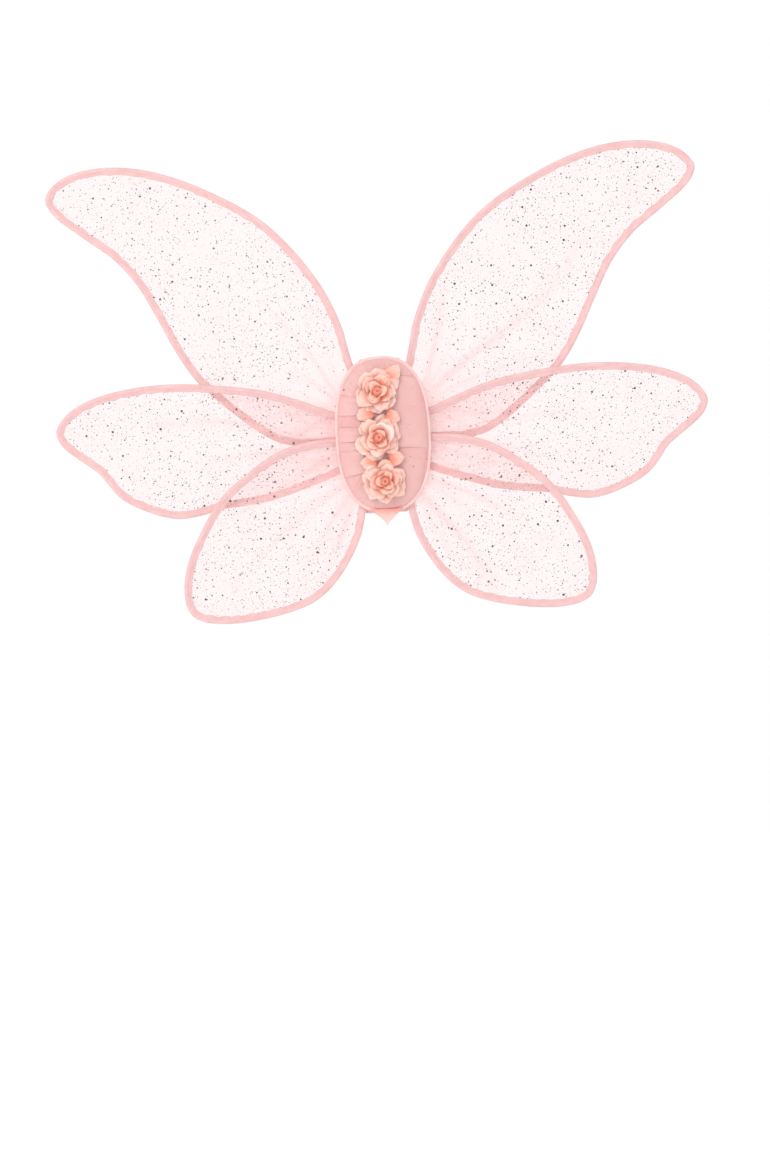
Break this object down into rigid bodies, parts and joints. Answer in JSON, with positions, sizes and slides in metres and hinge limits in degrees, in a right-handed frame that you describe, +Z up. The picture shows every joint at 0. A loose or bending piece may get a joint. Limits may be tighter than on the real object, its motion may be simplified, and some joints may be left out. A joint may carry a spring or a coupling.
{
  "type": "costume fairy wings",
  "caption": "Fairy wings for a child: wire hoops in fabric casings carry glittered organza, fixed to a padded oval hub with fabric roses and elastic shoulder loops.",
  "frame": {"origin": "middle of the flat face that rests on the wearer's back", "axes": "+Y toward the wearer, out of the rest face; +Z up; +X to the wearer's right; the decorated face looks toward -Y"},
  "size_m": [0.6058, 0.1432, 0.4298],
  "materials": {
    "casing_fabric": "soft salmon-pink woven tape",
    "steel_wire": "drawn steel wire",
    "organza": "nearly clear pale-pink organza with silver glitter specks",
    "hub_satin": "salmon-pink satin",
    "hub_organza": "layered pink organza",
    "felt": "matt pink felt",
    "core_board": "stiff grey-brown board",
    "tape": "cloth tape over set glue",
    "rose_petal": "peach satin petals",
    "rose_centre": "coral-orange satin",
    "elastic": "ribbed pink elastic"
  },
  "bodies": {
    "hub": {"left_upper_tail_top": "casing_fabric", "left_upper_tail_bottom": "casing_fabric", "left_middle_tail_top": "casing_fabric", "left_middle_tail_bottom": "casing_fabric", "left_lower_tail_top": "casing_fabric", "left_lower_tail_bottom": "casing_fabric", "left_strap_tab_top": "elastic", "left_strap_tab_bottom": "elastic", "left_tail_strip": "tape", "right_upper_tail_top": "casing_fabric", "right_upper_tail_bottom": "casing_fabric", "right_middle_tail_top": "casing_fabric", "right_middle_tail_bottom": "casing_fabric", "right_lower_tail_top": "casing_fabric", "right_lower_tail_bottom": "casing_fabric", "right_strap_tab_top": "elastic", "right_strap_tab_bottom": "elastic", "right_tail_strip": "tape", "back_pad": "felt", "core_plate": "core_board", "side_band": "hub_satin", "front_pad": "hub_satin", "front_binding": "hub_satin", "front_cover": "hub_organza", "bottom_petal": "rose_petal", "rose_top_outer_petals": "rose_petal", "rose_top_inner_petals": "rose_petal", "rose_top_bud": "rose_centre", "rose_middle_outer_petals": "rose_petal", "rose_middle_inner_petals": "rose_petal", "rose_middle_bud": "rose_centre", "rose_bottom_outer_petals": "rose_petal", "rose_bottom_inner_petals": "rose_petal", "rose_bottom_bud": "rose_centre"},
    "left_upper_wing": {"left_upper_casing": "casing_fabric", "left_upper_wire": "steel_wire", "left_upper_organza": "organza"},
    "left_middle_wing": {"left_middle_casing": "casing_fabric", "left_middle_wire": "steel_wire", "left_middle_organza": "organza"},
    "left_lower_wing": {"left_lower_casing": "casing_fabric", "left_lower_wire": "steel_wire", "left_lower_organza": "organza"},
    "left_strap_loop": {"left_strap": "elastic"},
    "right_upper_wing": {"right_upper_casing": "casing_fabric", "right_upper_wire": "steel_wire", "right_upper_organza": "organza"},
    "right_middle_wing": {"right_middle_casing": "casing_fabric", "right_middle_wire": "steel_wire", "right_middle_organza": "organza"},
    "right_lower_wing": {"right_lower_casing": "casing_fabric", "right_lower_wire": "steel_wire", "right_lower_organza": "organza"},
    "right_strap_loop": {"right_strap": "elastic"}
  },
  "joints": [
    {"name": "left_upper_fold", "type": "hinge", "parent": "hub", "child": "left_upper_wing", "pos_m": [-0.0545, -0.0109, -0.0045], "axis": [0.2463, 0, 0.9692], "range_deg": [-12, 45]},
    {"name": "left_middle_fold", "type": "hinge", "parent": "hub", "child": "left_middle_wing", "pos_m": [-0.0485, -0.0159, -0.035], "axis": [0, 0, 1], "range_deg": [-12.48, 46.8]},
    {"name": "left_lower_fold", "type": "hinge", "parent": "hub", "child": "left_lower_wing", "pos_m": [-0.026, -0.0209, -0.0885], "axis": [-0.2398, 0, 0.9708], "range_deg": [-12.84, 48.15]},
    {"name": "left_strap_swing", "type": "hinge", "parent": "hub", "child": "left_strap_loop", "pos_m": [-0.013, -0.004, 0], "axis": [0, 0, 1], "range_deg": [-6, 46]},
    {"name": "right_upper_fold", "type": "hinge", "parent": "hub", "child": "right_upper_wing", "pos_m": [0.0545, -0.0109, -0.0045], "axis": [0.2463, 0, -0.9692], "range_deg": [-12, 45]},
    {"name": "right_middle_fold", "type": "hinge", "parent": "hub", "child": "right_middle_wing", "pos_m": [0.0485, -0.0159, -0.035], "axis": [0, 0, -1], "range_deg": [-12.48, 46.8]},
    {"name": "right_lower_fold", "type": "hinge", "parent": "hub", "child": "right_lower_wing", "pos_m": [0.026, -0.0209, -0.0885], "axis": [-0.2398, 0, -0.9708], "range_deg": [-12.84, 48.15]},
    {"name": "right_strap_swing", "type": "hinge", "parent": "hub", "child": "right_strap_loop", "pos_m": [0.013, -0.004, 0], "axis": [0, 0, -1], "range_deg": [-6, 46]}
  ],
  "couplings": [
    {"joint": "left_middle_fold", "follows": "left_upper_fold", "ratio": 1.04},
    {"joint": "left_lower_fold", "follows": "left_upper_fold", "ratio": 1.07},
    {"joint": "right_middle_fold", "follows": "right_upper_fold", "ratio": 1.04},
    {"joint": "right_lower_fold", "follows": "right_upper_fold", "ratio": 1.07}
  ]
}
